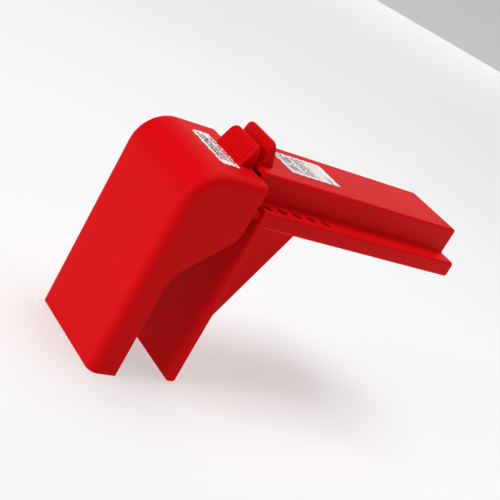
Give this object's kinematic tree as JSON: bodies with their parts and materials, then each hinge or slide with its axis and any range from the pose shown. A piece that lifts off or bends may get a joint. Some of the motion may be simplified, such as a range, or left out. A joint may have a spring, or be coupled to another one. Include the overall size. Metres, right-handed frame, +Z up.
{
  "type": "adjustable valve lever lockout",
  "caption": "Adjustable padlockable lockout: a square sleeve with holed flanges and a braced stop plate, and a deep hood that slides on rails to close over a valve lever.",
  "frame": {"origin": "centre of the lever channel, in the plane of the stop plate's near face", "axes": "+X along the sleeve towards its free end, Y across the flanges, +Z up, away from the stop plate"},
  "size_m": [0.2364, 0.0812, 0.1654],
  "materials": {
    "red_moulding": "satin moulded",
    "printed_label": "white printed vinyl"
  },
  "bodies": {
    "sleeve": {"sleeve": "red_moulding", "sleeve_label": "printed_label"},
    "hood": {"hood": "red_moulding", "hood_label": "printed_label"}
  },
  "joints": [
    {"name": "hood_slide", "type": "slide", "parent": "sleeve", "child": "hood", "axis": [-1, 0, 0], "range_m": [-0.001, 0.0508]}
  ]
}
